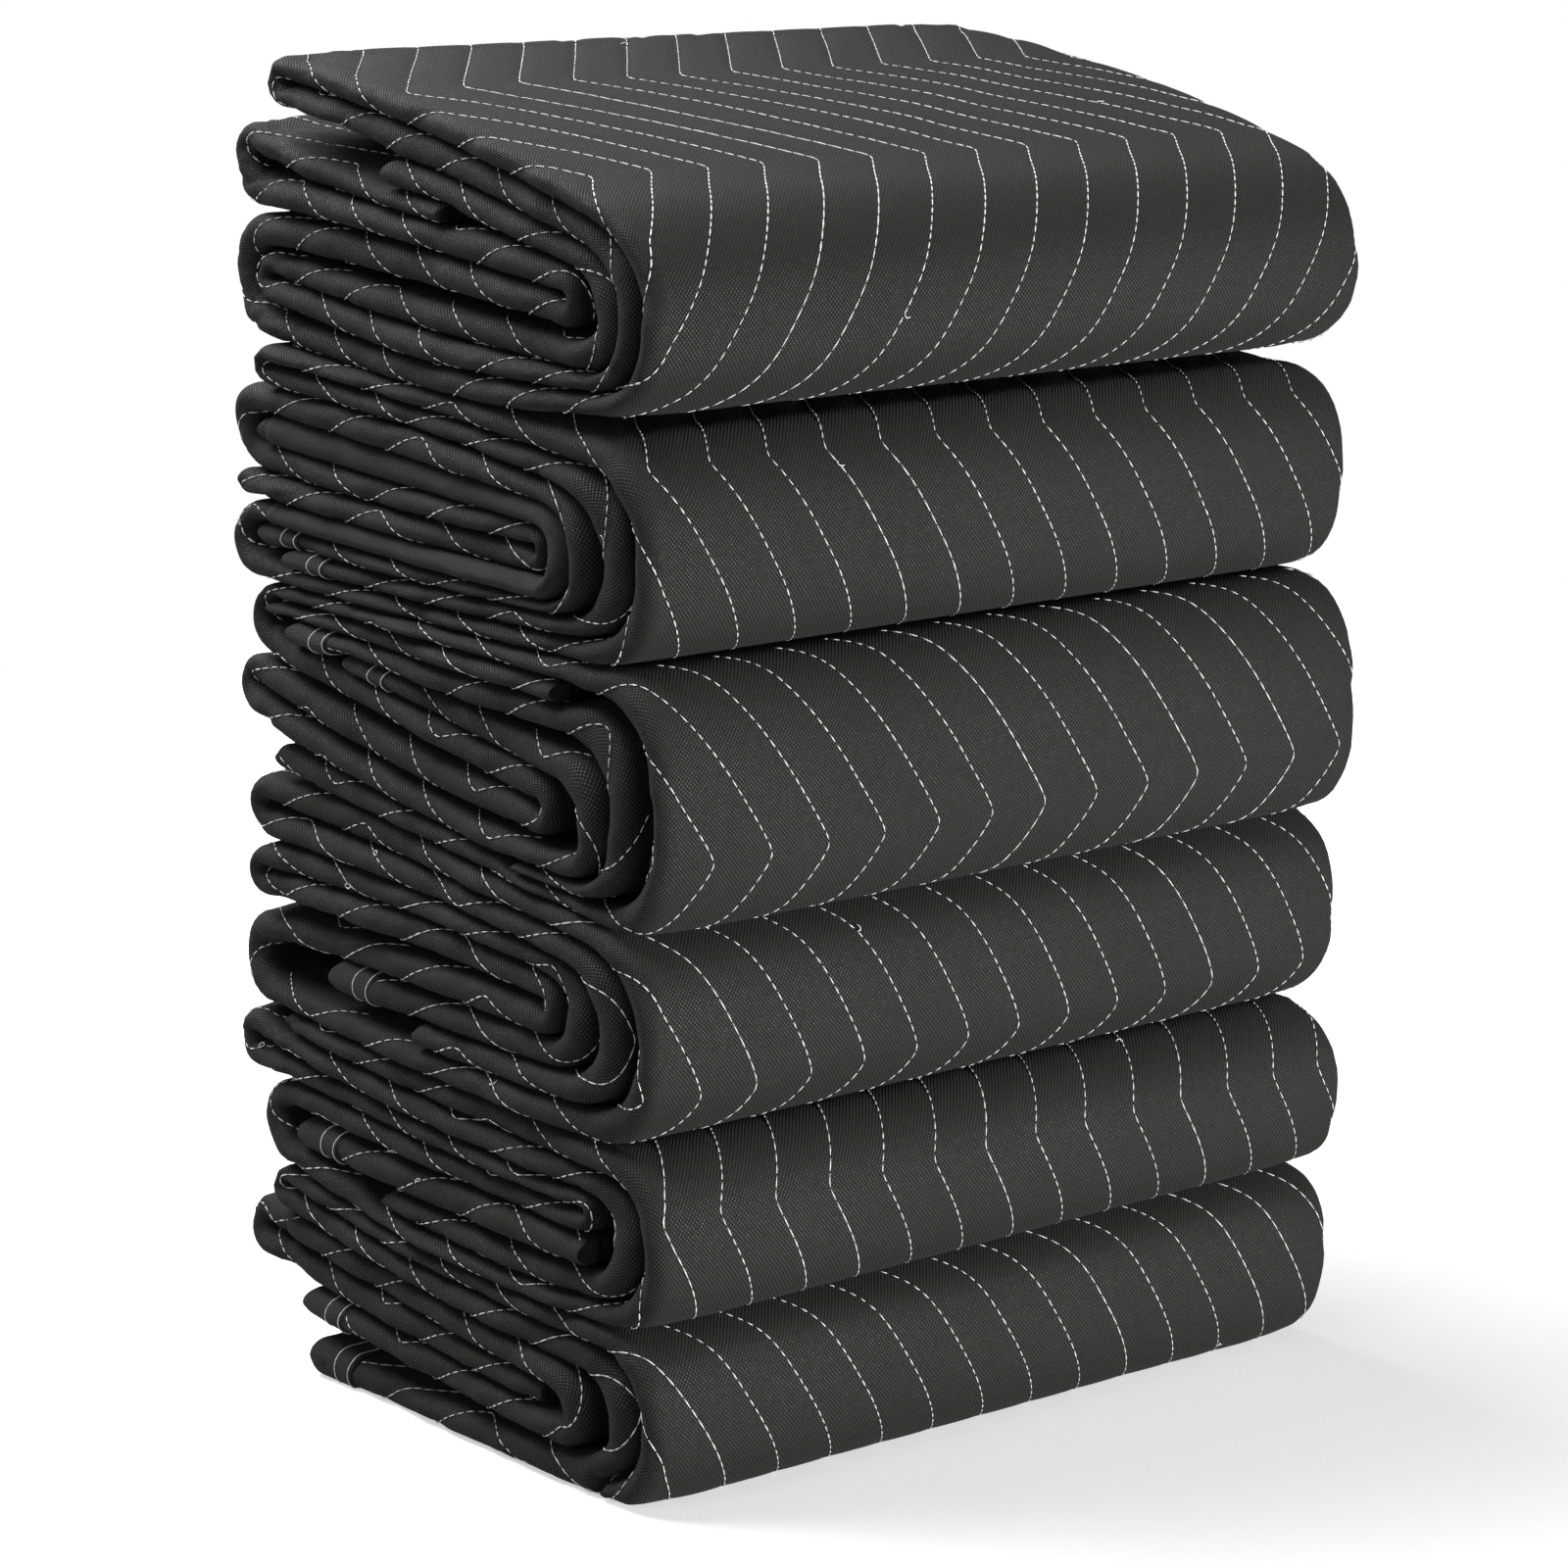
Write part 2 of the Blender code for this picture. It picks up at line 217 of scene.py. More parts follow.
# Light
FILL = 0.05
FLOOR_GLOW, FLOOR_GLOW_FAR = 0.5, 1.0
FLOOR_GIVES = 0.12         # the share of the glow that falls on the cloth
FLOOR_DIM = 0.3            # the floor's colour as the cloth sees it
FLOOR_NEAR, FLOOR_FAR = 0.8, 1.9      # where the glow starts to rise, and where it is full
FLOOR_HALF = 2.4
Light = namedtuple("Light", "name place size power")
LIGHTS = [
    Light("front", (0.5, -2.8, 0.3), (0.7, 0.35), 115),
    Light("top", (-0.7, 1.3, 2.6), (2.4, 1.8), 130),
    Light("side", (-2.8, -0.5, 1.3), (1.0, 1.4), 12),
]
LIGHTS_AIM = (0.0, 0.0, 0.35)

# Tape
TAPE_LENGTH = 38 * MM
TAPE_LINES = (23 * MM, 36 * MM)       # how far its two lines of thread are from the free end
# Its rings: how far each is from the free end, and how far it stands off the cloth, in mm
TAPE_RINGS = ((0.0, 1.0), (0.7, 1.1), (2, 1.2), (4, 1.25), (8, 1.2), (14, 1.15), (20, 1.1), (26, 1.1),
              (32, 1.1), (37, 1.0), (38.2, 0.3), (38.4, -0.8))
TAPE_TIP = 1.2 * MM        # how far its first ring stands past the free end
TAPE_COLUMNS = 9 * MM
TAPE_RELIEF = 0.3          # the share of the cloth's relief that it follows
TAPE_THREAD, TAPE_THREAD_LIFT = 0.45 * MM, 1.25 * MM

# How far a blanket's other strips have their lines moved from its first one's, along and across
OTHER_ALONG, OTHER_ACROSS = 53 * MM, 11 * MM


# Paths, as in the CAD source

def layer_height(layer, y):
    at = (Y_BACK, Y_MIDDLE, Y_FRONT)
    total = 0.0
    for i, z in enumerate(layer[:3]):
        share = 1.0
        for j in range(3):
            if j != i:
                share *= (y - at[j]) / (at[i] - at[j])
        total += z * MM * share
    return total


def fold_points(a, b, apex, towards):
    depth = 0.0
    for _ in range(3):
        start = apex - towards * depth
        height = layer_height(a, start) - layer_height(b, start)
        depth = min(FOLD_DEPTH * abs(height), FOLD_DEPTH_MOST)
    start = apex - towards * depth
    top, bottom = layer_height(a, start), layer_height(b, start)
    slopes = [(layer_height(layer, start + MM) - layer_height(layer, start)) / MM for layer in (a, b)]
    points = []
    for k in range(33):
        angle = math.pi * k / 32
        up = math.copysign(abs(math.cos(angle)) ** (2 / ROUND_POWER), math.cos(angle))
        out = towards * depth * abs(math.sin(angle)) ** (2 / ROUND_POWER)
        first = math.cos(angle / 2) ** 2
        lean = out * (slopes[0] * first + slopes[1] * (1 - first))
        points.append((start + out, (top + bottom) / 2 + (top - bottom) / 2 * up + lean))
    return points


def even_path(points):
    p = np.array(points)
    for _ in range(2):
        along = np.concatenate([[0], np.cumsum(np.linalg.norm(np.diff(p, axis=0), axis=1))])
        count = int(along[-1] / PATH_STEP) + 1
        at = np.linspace(0, along[-1], count)
        p = np.stack([np.interp(at, along, p[:, k]) for k in range(2)], axis=1)
        q = p.copy()
        q[2:-2] = (p[:-4] + 2 * p[1:-3] + 3 * p[2:-2] + 2 * p[3:-1] + p[4:]) / 9
        p = q
    return p


def run_path(run):
    points = []
    y = run.start_y * MM
    layers = run.layers
    for i, layer in enumerate(layers):
        end = layer.end_y * MM
        towards = 1 if end > y else -1
        last = i == len(layers) - 1
        fold = [] if last else fold_points(layer, layers[i + 1], end, towards)
        stop = end if last else fold[0][0]
        for k in range(12):
            at = y + (stop - y) * k / 12
            points.append((at, layer_height(layer, at)))
        points += fold if fold else [(end, layer_height(layer, end))]
        y = fold[-1][0] if fold else end
    return even_path(points)


def steady(values, reach):
    n = len(values)
    low = np.array([values[max(0, i - reach):i + reach + 1].min() for i in range(n)])
    return np.array([low[max(0, i - reach):i + reach + 1].mean() for i in range(n)])


def widened(values, reach):
    """The values with each peak widened and then smoothed."""
    n = len(values)
    high = np.array([values[max(0, i - reach):i + reach + 1].max() for i in range(n)])
    return np.array([high[max(0, i - reach):i + reach + 1].mean() for i in range(n)])


class Strip:
    """A run's middle line, its half thickness on either side and how open each side lies."""

    def __init__(self, name, index, run):
        self.name, self.index, self.run = name, index, run
        self.p = run_path(run)
        d = np.gradient(self.p, axis=0)
        d /= np.linalg.norm(d, axis=1)[:, None]
        self.normal = np.stack([-d[:, 1], d[:, 0]], axis=1)
        self.along = np.concatenate([[0], np.cumsum(np.linalg.norm(np.diff(self.p, axis=0), axis=1))])
        self.total = self.along[-1]
        self.heading = np.unwrap(np.arctan2(d[:, 1], d[:, 0]))
        self.bend = np.gradient(self.heading, self.along)
        self.seed = sum(ord(c) for c in name) * 0.37 + index * 1.9
        self.band_from = self.total


def set_thickness(strips):
    places = np.concatenate([s.p for s in strips])
    owner = np.concatenate([np.full(len(s.p), i) for i, s in enumerate(strips)])
    names = np.concatenate([np.full(len(s.p), s.name) for s in strips])
    along = np.concatenate([s.along for s in strips])
    for i, s in enumerate(strips):
        gap = np.where(names == s.name, LAYER_GAP, BLANKET_GAP)
        halves, opens = [], []
        for side in (1, -1):
            room = np.zeros(len(s.p))
            for k, (c, n) in enumerate(zip(s.p, s.normal * side)):
                v = places - c
                distance = np.linalg.norm(v, axis=1)
                other = (owner != i) | (abs(along - s.along[k]) > 28 * MM)
                faces = v @ n > -0.15 * distance
                near = (distance - gap)[other & faces]
                room[k] = near.min(initial=1.0) / 2
            bend = s.bend * side
            puff = np.clip(abs(bend) / FULL_PUFF_BEND, 0, 1)
            most = LAYER_HALF + (FOLD_HALF - LAYER_HALF) * puff
            inside = np.where(bend > 1, INNER_BEND / np.maximum(bend, 1), 1.0)
            half = np.minimum(np.minimum(room, most), inside)
            half = steady(half, 2)
            down = s.normal[:, 1] * side < -FLAT_ENOUGH
            floor = down & (s.p[:, 1] < FLOOR_REACH)
            half[floor] = s.p[floor, 1] / -(s.normal[floor, 1] * side)
            free = 2 * (room - half)
            free[floor] = 0
            free[inside < most] = np.minimum(free[inside < most], OPEN_FROM)
            halves.append(half)
            opens.append(widened(np.clip((free - OPEN_FROM) / OPEN_OVER, 0, 1), 2))
        s.left, s.right = halves
        s.open_left, s.open_right = opens


def sees_out(strips):
    """Closes the sides that no line of sight from outside the stack can reach."""
    places = np.concatenate([s.p for s in strips])
    for s in strips:
        for side, half, opened in ((1, s.left, s.open_left), (-1, s.right, s.open_right)):
            some = np.arange(0, len(s.p), SIGHT_STEP)
            clear = np.zeros(len(some))
            for n, k in enumerate(some):
                if opened[k] <= 0:
                    continue
                out = s.normal[k] * side
                start = s.p[k] + out * (half[k] + SIGHT_OFF)
                v = places - start
                for angle in SIGHT_ANGLES:
                    c, d = math.cos(angle), math.sin(angle)
                    ray = np.array([out[0] * c - out[1] * d, out[0] * d + out[1] * c])
                    ahead = v @ ray
                    beside = abs(v[:, 0] * ray[1] - v[:, 1] * ray[0])
                    if not ((ahead > 0) & (beside < SIGHT_WIDE)).any():
                        clear[n] = 1
                        break
            seen = np.interp(np.arange(len(s.p)), some, clear)
            opened *= widened(seen, 3)


def settled(x, z):
    return z + SETTLE * (x / STRIP_WIDTH) * (1 - np.exp(-np.maximum(z, 0) / SETTLE_OVER))


def wave(seed, *terms):
    """A smooth, seeded sum of sines. Each term is a wave number and a coordinate."""
    total = 0.0
    for i, (number, value) in enumerate(terms):
        total = total + value * number * (1 + 0.13 * i)
    return np.sin(total + seed) * 0.6 + np.sin(total * 1.73 + 2.1 * seed) * 0.4


def creases(seed, s, b, number_s, number_b):
    """Narrow, wandering creases, 1 in their middle and 0 between them."""
    wander = 1.3 * np.sin(23 * s + seed) + 1.1 * np.sin(31 * b + 2 * seed)
    line = 1 - np.abs(np.sin(number_s * s + number_b * b + wander + seed))
    gate = np.clip(np.sin(17 * s + 29 * b + 3 * seed) + 0.35, 0, 1)
    return line ** 6 * gate


class Lines:
    """A blanket's zigzag stitch lines, as places round the tube."""

    def __init__(self, quilt, strip):
        self.pitch = 2 * STRIP_WIDTH / quilt.across
        self.slope = quilt.slope
        self.points = quilt.points
        front = int(np.argmin(strip.p[:, 0]))
        falls = strip.p[front + 3, 1] < strip.p[front - 3, 1]
        towards = 1 if falls else -1
        self.kink = strip.along[front] + towards * quilt.kink * MM
        outer_left = (strip.normal[front, 0] < 0)
        self.turn = 1 if outer_left else -1
        self.at = quilt.at_x * MM

    def shift(self, s):
        """How far along x a line stands at s from where its turn is."""
        phase = np.mod(s - self.kink, 2 * ZIGZAG)
        away = np.minimum(phase, 2 * ZIGZAG - phase)
        soft = np.sqrt(away ** 2 + TURN_ROUND ** 2)
        far = np.sqrt((ZIGZAG - away) ** 2 + TURN_ROUND ** 2)
        bent = np.where(away < ZIGZAG / 2, soft, ZIGZAG - far)
        return -self.points * self.slope * bent

    def place(self, s, k):
        """Line k's place round the tube at s."""
        return self.turn * (self.at + self.shift(s) + k * self.pitch)

    def away(self, s, u):
        """The distance from the nearest line, along the tube's section."""
        q = (self.turn * u - self.at - self.shift(s)) / self.pitch
        return np.abs(q - np.round(q)) * self.pitch


def surface(strip, lines, s, u, relief=1.0, lift=0.0):
    """Points of the strip's cloth: s along it, and u round it, 0 at the -x edge, left side positive."""
    s, u = np.broadcast_arrays(np.asarray(s, float), np.asarray(u, float))
    cy = np.interp(s, strip.along, strip.p[:, 0])
    cz = np.interp(s, strip.along, strip.p[:, 1])
    ny = np.interp(s, strip.along, strip.normal[:, 0])
    nz = np.interp(s, strip.along, strip.normal[:, 1])
    size = np.sqrt(ny ** 2 + nz ** 2)
    ny, nz = ny / size, nz / size
    left = np.interp(s, strip.along, strip.left)
    right = np.interp(s, strip.along, strip.right)
    from_end = np.clip(np.minimum(s, strip.total - s), 0, END_ROUND)
    blunt = BLUNTEST + (1 - BLUNTEST) * np.sqrt(1 - (1 - from_end / END_ROUND) ** 2)
    left, right = left * blunt, right * blunt
    is_left = u >= 0
    a = np.abs(u)
    far = a > STRIP_WIDTH / 2
    b = np.where(far, STRIP_WIDTH - a, a)
    edge = (np.sin(s * 7.3 + strip.seed) + 0.6 * np.sin(s * 17.1 + 2 * strip.seed)) * 1.5 * MM
    into = np.minimum(EDGE_IN, 1.2 * (left + right))
    half_width = STRIP_WIDTH / 2 - edge
    angle = np.clip(b / EDGE_CLOTH, 0, 1) * math.pi / 2
    c = np.abs(np.cos(angle)) ** (2 / EDGE_POWER)
    d = np.abs(np.sin(angle)) ** (2 / EDGE_POWER)
    flat = np.clip((b - EDGE_CLOTH) / (STRIP_WIDTH / 2 - EDGE_CLOTH), 0, 1)
    x_in = np.where(b < EDGE_CLOTH, into * (1 - c), into + flat * (half_width - into))
    middle, half = (left - right) / 2, (left + right) / 2
    side = np.where(is_left, 1.0, -1.0)
    off = middle + side * half * d
    out_x, out_n = -np.cos(angle), side * np.sin(angle)
    # relief
    opened = np.where(is_left, np.interp(s, strip.along, strip.open_left),
                      np.interp(s, strip.along, strip.open_right))
    near_edge = np.exp(-np.maximum(b - EDGE_CLOTH * 0.5, 0) ** 2 / (14 * MM) ** 2)
    gap = lines.away(s, u)
    trough = np.exp(-(gap / TROUGH_WIDE) ** 2)
    puff = 1 - (1 - np.clip(2 * gap / lines.pitch, 0, 1)) ** 2.2
    seed = strip.seed
    slow = wave(seed, (31, s), (19, side * b)) + 0.6 * wave(seed + 2, (67, s), (-41, b))
    taut = np.clip(np.abs(np.interp(s, strip.along, strip.bend)) / 14, 0, 1)
    loose = 1 - 0.72 * taut
    lobe = np.clip((cy - 0.285) / 0.05, 0, 1) * np.maximum(opened, near_edge)
    crease = creases(seed + 11, s, side * b, 62, 48) + 0.7 * creases(seed + 13, s, side * b, -95, 60)
    height = opened * loose * (PUFF * puff + 0.5 * MM * slow)
    height -= TROUGH * trough * np.maximum(opened * loose, near_edge)
    height -= crease * MM * (2.3 * lobe + 0.7 * near_edge + 0.15 * opened)
    corner = np.exp(-(np.maximum(b - EDGE_CLOTH * 0.5, 0) / CORNER_WIDE) ** 2) * np.sin(angle)
    height -= CORNER_SINK * opened * corner
    height = height * blunt * relief
    edge_slow = wave(seed + 5, (23, s)) + 0.8 * wave(seed + 7, (57, s)) + 0.45 * wave(seed + 9, (148, s))
    edge_out = np.cos(angle) * near_edge * (1.5 * MM * edge_slow + 1.2 * MM * (puff - 0.6)) * relief
    thin = np.minimum(left, right)
    height = np.maximum(height, -0.35 * thin)
    x_in = x_in - edge_out * np.where(b < EDGE_CLOTH, 1, near_edge)
    move_x = (height + lift) * out_x
    off = off + (height + lift) * out_n
    x = half_width - x_in - move_x
    x = np.where(far, x, -x)
    y = cy + ny * off
    z = np.maximum(cz + nz * off, 0.3 * MM)
    return np.stack([x, y - STACK_MIDDLE_Y, settled(x, z)], axis=-1)


def outward(strip, lines, s, u):
    """The cloth's outward normal there."""
    e = 0.8 * MM
    du = surface(strip, lines, s, u + e, 0.6) - surface(strip, lines, s, u - e, 0.6)
    ds = surface(strip, lines, s + e, u, 0.6) - surface(strip, lines, s - e, u, 0.6)
    n = np.cross(du, ds)
    n /= np.maximum(np.linalg.norm(n, axis=-1), 1e-12)[..., None]
    lifted = surface(strip, lines, s, u, 0.6, 1 * MM) - surface(strip, lines, s, u, 0.6)
    flip = np.sign(np.sum(n * lifted, axis=-1))
    return n * np.where(flip == 0, 1, flip)[..., None]


# Meshes

def station_list(strip):
    places = list(END_STEPS)
    spent = 0.0
    for k in range(1, len(strip.along)):
        spent += (strip.along[k] - strip.along[k - 1]) / STEP
        spent += abs(strip.heading[k] - strip.heading[k - 1]) / TURN
        at = strip.along[k]
        if spent >= 1 and places[-1] + 2.5 * MM < at < strip.total - END_STEPS[-1] - 2.5 * MM:
            places.append(at)
            spent = 0.0
    return np.array(places + [strip.total - a for a in reversed(END_STEPS)])


def columns(step):
    """Places round one side of the tube: close together at its edges, step apart between."""
    near = [k * EDGE_CLOTH / 6 for k in range(7)] + [EDGE_CLOTH + d * MM for d in (3, 6.5, 10.5, 15, 21)]
    first = near[-1]
    count = max(1, int(round((STRIP_WIDTH - 2 * first) / step)))
    middle = [first + (STRIP_WIDTH - 2 * first) * k / count for k in range(1, count)]
    return np.array(near + middle + [STRIP_WIDTH - a for a in reversed(near)])


COARSE = columns(COARSE_X)
NEAR_EDGE = EDGE_CLOTH + 21 * MM


def line_columns(lines, s, side):
    """Places round one side of the tube that follow the stitch lines at s."""
    start, stop = sorted((lines.turn * side * NEAR_EDGE, lines.turn * side * (STRIP_WIDTH - NEAR_EDGE)))
    zero = lines.at + float(lines.shift(s))
    low, high = (start - zero) / lines.pitch, (stop - zero) / lines.pitch
    grid = [k + f for k in range(math.floor(low), math.ceil(high) + 1) for f in LINE_COLUMNS]
    clear = 1.2 * MM / lines.pitch
    middle = [abs(q * lines.pitch + zero) for q in grid if low + clear < q < high - clear]
    edge = [a for a in COARSE if a <= NEAR_EDGE + 1e-6]
    return np.array(edge + sorted(middle) + [STRIP_WIDTH - a for a in reversed(edge)])


def zip_rows(a, b, at_a, at_b, flip):
    """Faces between two rows of vertices whose columns stand at at_a and at_b on a shared scale."""
    made = []
    i = j = 0
    while i < len(a) - 1 or j < len(b) - 1:
        if i < len(a) - 1 and j < len(b) - 1:
            gap = at_a[i + 1] - at_b[j + 1]
            if abs(gap) < ZIP_NEAR * min(at_a[i + 1] - at_a[i], at_b[j + 1] - at_b[j]):
                face = (a[i], a[i + 1], b[j + 1], b[j])
                made.append(face[::-1] if flip else face)
                i, j = i + 1, j + 1
                continue
            step_a = gap < 0
        else:
            step_a = j == len(b) - 1
        face = (a[i], a[i + 1], b[j]) if step_a else (a[i], b[j + 1], b[j])
        made.append(face[::-1] if flip else face)
        if step_a:
            i += 1
        else:
            j += 1
    return made


class Cloth:
    """Vertices, faces and flat cloth coordinates of one piece."""

    def __init__(self):
        self.verts, self.faces, self.uvs, self.count = [], [], [], 0

    def add(self, points):
        base = self.count
        self.verts.append(points)
        self.count += len(points)
        return list(range(base, self.count))

    def face(self, corners, uv):
        self.faces.append(corners)
        self.uvs.append(uv)


def add_strip(cloth, strip, lines, s_offset):
    """The strip as a closed tube."""
    stations = station_list(strip)
    opened = {1: np.interp(stations, strip.along, widened(strip.open_left, 6)),
              -1: np.interp(stations, strip.along, widened(strip.open_right, 6))}
    all_s, all_u, rows = [], [], []
    count = 0
    for k, s in enumerate(stations):
        ends = k == 0 or k == len(stations) - 1
        row = {}
        edges = (count, count + 1)
        all_u += [0.0, STRIP_WIDTH]
        all_s += [s, s]
        count += 2
        for side in (1, -1):
            fine = opened[side][k] > 0.02 and not ends
            at = line_columns(lines, s, side) if fine else COARSE
            inner = list(range(count, count + len(at) - 2))
            all_u += list(side * at[1:-1])
            all_s += [s] * len(inner)
            count += len(inner)
            row[side] = (at, [edges[0], *inner, edges[1]])
        rows.append(row)
    base = cloth.count
    cloth.add(surface(strip, lines, np.array(all_s), np.array(all_u)))

    def put(faces, side, ats):
        for f in faces:
            uv = [(side * ats[v][0], ats[v][1] + s_offset) for v in f]
            cloth.face(tuple(base + v for v in f), uv)

    for (a, s_a), (b, s_b) in zip(zip(rows, stations), zip(rows[1:], stations[1:])):
        for side in (1, -1):
            at_a, row_a = a[side]
            at_b, row_b = b[side]
            ats = {v: (at, s_a) for at, v in zip(at_a, row_a)}
            ats.update({v: (at, s_b) for at, v in zip(at_b, row_b)})
            both = len(row_a) > len(COARSE) and len(row_b) > len(COARSE)
            drift = float(lines.shift(s_b) - lines.shift(s_a)) * lines.turn * side if both else 0.0
            from_edge = np.minimum(at_b, STRIP_WIDTH - at_b) - EDGE_CLOTH
            inside = np.clip(from_edge / (NEAR_EDGE - EDGE_CLOTH), 0, 1)
            put(zip_rows(row_a, row_b, at_a, at_b - drift * inside, side > 0), side, ats)
    for row, flip in ((rows[0], False), (rows[-1], True)):
        at, up = row[1]
        down = row[-1][1]
        for i in range(len(up) - 1):
            f = [up[i], up[i + 1], down[i + 1], down[i]]
            f = [base + v for n, v in enumerate(f) if v not in f[:n]]
            cloth.face(tuple(f[::-1] if flip else f), [(at[i], s_offset)] * len(f))


def make_object(name, verts, faces, material, uvs=None):
    mesh = bpy.data.meshes.new(name)
    mesh.from_pydata([(x, y, max(z, 0.0)) for x, y, z in verts], [], faces)
    if uvs is not None:
        layer = mesh.uv_layers.new(name="cloth")
        layer.data.foreach_set("uv", np.array([c for f in uvs for c in f], dtype=np.float32).ravel())
    mesh.polygons.foreach_set("use_smooth", [True] * len(mesh.polygons))
    mesh.materials.append(material)
    mesh.update()
    made = bpy.data.objects.new(name, mesh)
    bpy.context.scene.collection.objects.link(made)
    return made


class Threads:
    """Short lengths of thread, each a little four-sided spindle."""

    def __init__(self):
        self.verts, self.faces, self.count = [], [], 0

    def add(self, points, normals, widths):
        """A tube along points; normals point out of the cloth, widths are its half widths."""
        d = np.gradient(points, axis=0)
        d /= np.maximum(np.linalg.norm(d, axis=1), 1e-12)[:, None]
        across = np.cross(d, normals)
        across /= np.maximum(np.linalg.norm(across, axis=1), 1e-12)[:, None]
        base = self.count
        n = len(points)
        for k in range(n):
            w = widths[k]
            lift = normals[k] * w * 0.75
            self.verts += [points[k] + across[k] * w, points[k] + lift,
                           points[k] - across[k] * w, points[k] - lift]
        for k in range(n - 1):
            for j in range(4):
                a = base + 4 * k + j
                b = base + 4 * k + (j + 1) % 4
                self.faces.append((a, b, b + 4, a + 4))
        self.faces.append((base + 3, base + 2, base + 1, base))
        e = base + 4 * (n - 1)
        self.faces.append((e, e + 1, e + 2, e + 3))
        self.count += 4 * n


def loose_end(threads, place, out, along, rng):
    """A loose end of thread that curls away from the stitching."""
    across = np.cross(out, along)
    turn, sweep = rng.uniform(0, 2 * math.pi), rng.uniform(1.5, 4)
    points = []
    for t in np.linspace(0, 1, 7):
        angle = turn + sweep * t
        flat = along * math.cos(angle) + across * math.sin(angle)
        points.append(place + flat * LOOSE * t + out * (0.5 + math.sin(2.4 * t)) * MM)
    threads.add(np.array(points), np.tile(out, (7, 1)), [1.3 * THREAD] + [0.75 * THREAD] * 6)


def run_dashes(threads, strip, lines, rng):
    """All the stitching of a strip that can be seen."""
    step = 1.6 * MM
    s = np.arange(3 * MM, strip.total - 3 * MM, step)
    if strip.run.start_bound:
        s = s[s > TAPE_LENGTH + 1 * MM]
    if strip.run.end_bound:
        s = s[s < strip.total - TAPE_LENGTH - 1 * MM]
    shift = lines.shift(s)
    low = int((-STRIP_WIDTH - lines.at - abs(shift).max()) / lines.pitch) - 1
    high = int((STRIP_WIDTH - lines.at + abs(shift).max()) / lines.pitch) + 1
    for k in range(low, high + 1):
        u = lines.place(s, k)
        inside = (u >= -STRIP_WIDTH) & (u < STRIP_WIDTH)
        if not inside.any():
            continue
        a = np.abs(u)
        b = np.minimum(a, STRIP_WIDTH - a)
        opened = np.where(u >= 0, np.interp(s, strip.along, strip.open_left),
                          np.interp(s, strip.along, strip.open_right))
        shown = inside & ((opened > 0.06) | (b < EDGE_CLOTH + 7 * MM))
        shown &= ~((a < SIDE_BAND) & (s > strip.band_from))
        long_line = rng.random() < LONG_LINES
        gap = DASH_GAP * (LONG_GAP if long_line else 1.0)
        length = DASH * (LONG_DASH if long_line else 1.0)
        runs = np.flatnonzero(np.diff(np.concatenate([[0], shown.astype(int), [0]])))
        for first, stop in zip(runs[::2], runs[1::2]):
            if stop - first < 3:
                continue
            ss, uu = s[first:stop], u[first:stop]
            raised = EDGE_LIFT * np.clip(1.25 - b[first:stop] / EDGE_LIFT_WIDE, 0, 1)
            points = surface(strip, lines, ss, uu, 1.0, raised)
            normals = outward(strip, lines, ss, uu)
            travel = np.concatenate([[0], np.cumsum(np.linalg.norm(np.diff(points, axis=0), axis=1))])
            place = rng.uniform(0, gap)
            while place < travel[-1] - 2 * MM:
                end = min(place + length * rng.uniform(0.85, 1.15), travel[-1])
                at = np.linspace(place, end, 3)
                p = np.stack([np.interp(at, travel, points[:, k]) for k in range(3)], axis=1)
                n = np.stack([np.interp(at, travel, normals[:, k]) for k in range(3)], axis=1)
                n /= np.linalg.norm(n, axis=1)[:, None]
                w = THREAD * rng.uniform(0.85, 1.12)
                threads.add(p + n * THREAD_LIFT, n, [0.5 * w, w, 0.5 * w])
                if rng.random() < LOOSE_SHARE:
                    along = (p[2] - p[0]) / max(np.linalg.norm(p[2] - p[0]), 1e-9)
                    loose_end(threads, p[2], n[2], along, rng)
                place = end + gap * rng.uniform(0.7, 1.35)


# Materials

